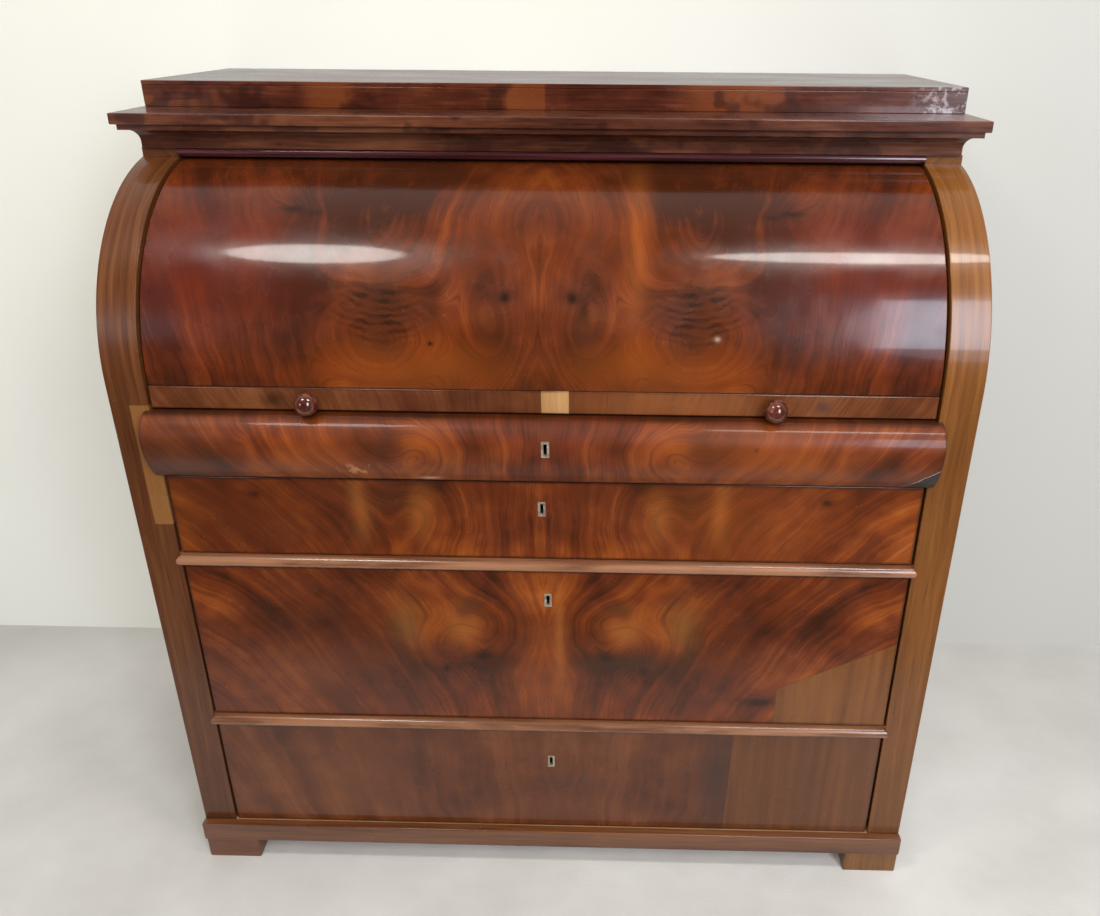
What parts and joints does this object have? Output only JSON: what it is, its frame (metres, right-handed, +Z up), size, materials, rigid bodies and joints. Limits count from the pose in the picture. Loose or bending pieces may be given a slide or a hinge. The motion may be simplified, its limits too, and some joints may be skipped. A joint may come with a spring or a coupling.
{
  "type": "roll top desk",
  "caption": "Cylinder desk: a chest of drawers under a bellied writing slide, closed by a rigid quarter-round lid that rolls back over a fitment with pigeonholes.",
  "frame": {"origin": "on the floor, in the middle of the desk's footprint", "axes": "+Z up, -Y to the front where the drawers and the slide pull out, +X to the right of a person facing the desk"},
  "size_m": [1.1634, 0.6211, 1.1818],
  "materials": {
    "figured_veneer": "french polished, glossy",
    "plain_veneer": "french polished, glossy",
    "foot_wood": "worn, satin",
    "secondary_wood": "unfinished, aged",
    "knob_wood": "turned and polished, glossy",
    "brass": "tarnished, satin",
    "iron": "dark, satin",
    "leather": "worn, satin"
  },
  "bodies": {
    "carcass": {"front_feet": "foot_wood", "rear_feet": "foot_wood", "plinth_board": "plain_veneer", "base_rails": "secondary_wood", "bottom_board": "secondary_wood", "front_post_right": "plain_veneer", "front_post_left": "plain_veneer", "rear_posts": "plain_veneer", "side_rails": "plain_veneer", "side_panel_right": "plain_veneer", "side_panel_left": "plain_veneer", "side_linings": "secondary_wood", "pivot_blocks": "secondary_wood", "pivot_bushes": "brass", "drawer_rails": "secondary_wood", "drawer_runners": "secondary_wood", "dust_boards": "secondary_wood", "rail_mouldings": "plain_veneer", "back_boards": "secondary_wood", "top_frame": "secondary_wood", "top_bead": "plain_veneer", "cornice_moulding": "plain_veneer", "top_board": "plain_veneer", "blocking_frame": "plain_veneer", "blocking_panel": "plain_veneer", "fitment_base": "plain_veneer", "fitment_uprights": "plain_veneer", "fitment_shelves": "plain_veneer", "fitment_back": "secondary_wood"},
    "lid": {"lid_shell": "figured_veneer", "lid_rail": "figured_veneer", "lid_top_rail": "plain_veneer", "lid_cheeks": "plain_veneer", "lid_pins": "iron", "lid_knobs": "knob_wood"},
    "slide": {"slide_front": "figured_veneer", "slide_board": "plain_veneer", "slide_leather": "leather", "slide_bearers": "secondary_wood", "slide_lock": "iron"},
    "slide_bolt": {"slide_bolt": "iron"},
    "letter_drawer_left": {"letter_drawer_left": "plain_veneer", "letter_knob_left": "brass"},
    "letter_drawer_right": {"letter_drawer_right": "plain_veneer", "letter_knob_right": "brass"},
    "top_drawer": {"top_drawer_front": "figured_veneer", "top_drawer_box": "secondary_wood", "top_drawer_bottom": "secondary_wood", "top_drawer_lock": "iron"},
    "top_drawer_bolt": {"top_drawer_bolt": "iron"},
    "middle_drawer": {"middle_drawer_front": "figured_veneer", "middle_drawer_box": "secondary_wood", "middle_drawer_bottom": "secondary_wood", "middle_drawer_lock": "iron"},
    "middle_drawer_bolt": {"middle_drawer_bolt": "iron"},
    "bottom_drawer": {"bottom_drawer_front": "figured_veneer", "bottom_drawer_box": "secondary_wood", "bottom_drawer_bottom": "secondary_wood", "bottom_drawer_lock": "iron"},
    "bottom_drawer_bolt": {"bottom_drawer_bolt": "iron"}
  },
  "joints": [
    {"name": "lid_roll", "type": "hinge", "parent": "carcass", "child": "lid", "pos_m": [0, -0.01945, 0.833], "axis": [-1, 0, 0], "range_deg": [0, 72]},
    {"name": "slide_pull", "type": "slide", "parent": "carcass", "child": "slide", "axis": [0, -1, 0], "range_m": [0, 0.28]},
    {"name": "slide_bolt_throw", "type": "slide", "parent": "slide", "child": "slide_bolt", "axis": [0, 0, 1], "range_m": [0, 0.007]},
    {"name": "top_drawer_pull", "type": "slide", "parent": "carcass", "child": "top_drawer", "axis": [0, -1, 0], "range_m": [0, 0.4]},
    {"name": "top_drawer_bolt_throw", "type": "slide", "parent": "top_drawer", "child": "top_drawer_bolt", "axis": [0, 0, 1], "range_m": [0, 0.007]},
    {"name": "middle_drawer_pull", "type": "slide", "parent": "carcass", "child": "middle_drawer", "axis": [0, -1, 0], "range_m": [0, 0.4]},
    {"name": "middle_drawer_bolt_throw", "type": "slide", "parent": "middle_drawer", "child": "middle_drawer_bolt", "axis": [0, 0, 1], "range_m": [0, 0.007]},
    {"name": "bottom_drawer_pull", "type": "slide", "parent": "carcass", "child": "bottom_drawer", "axis": [0, -1, 0], "range_m": [0, 0.4]},
    {"name": "bottom_drawer_bolt_throw", "type": "slide", "parent": "bottom_drawer", "child": "bottom_drawer_bolt", "axis": [0, 0, 1], "range_m": [0, 0.007]},
    {"name": "letter_drawer_left_pull", "type": "slide", "parent": "carcass", "child": "letter_drawer_left", "axis": [0, -1, 0], "range_m": [0, 0.13]},
    {"name": "letter_drawer_right_pull", "type": "slide", "parent": "carcass", "child": "letter_drawer_right", "axis": [0, -1, 0], "range_m": [0, 0.13]}
  ]
}
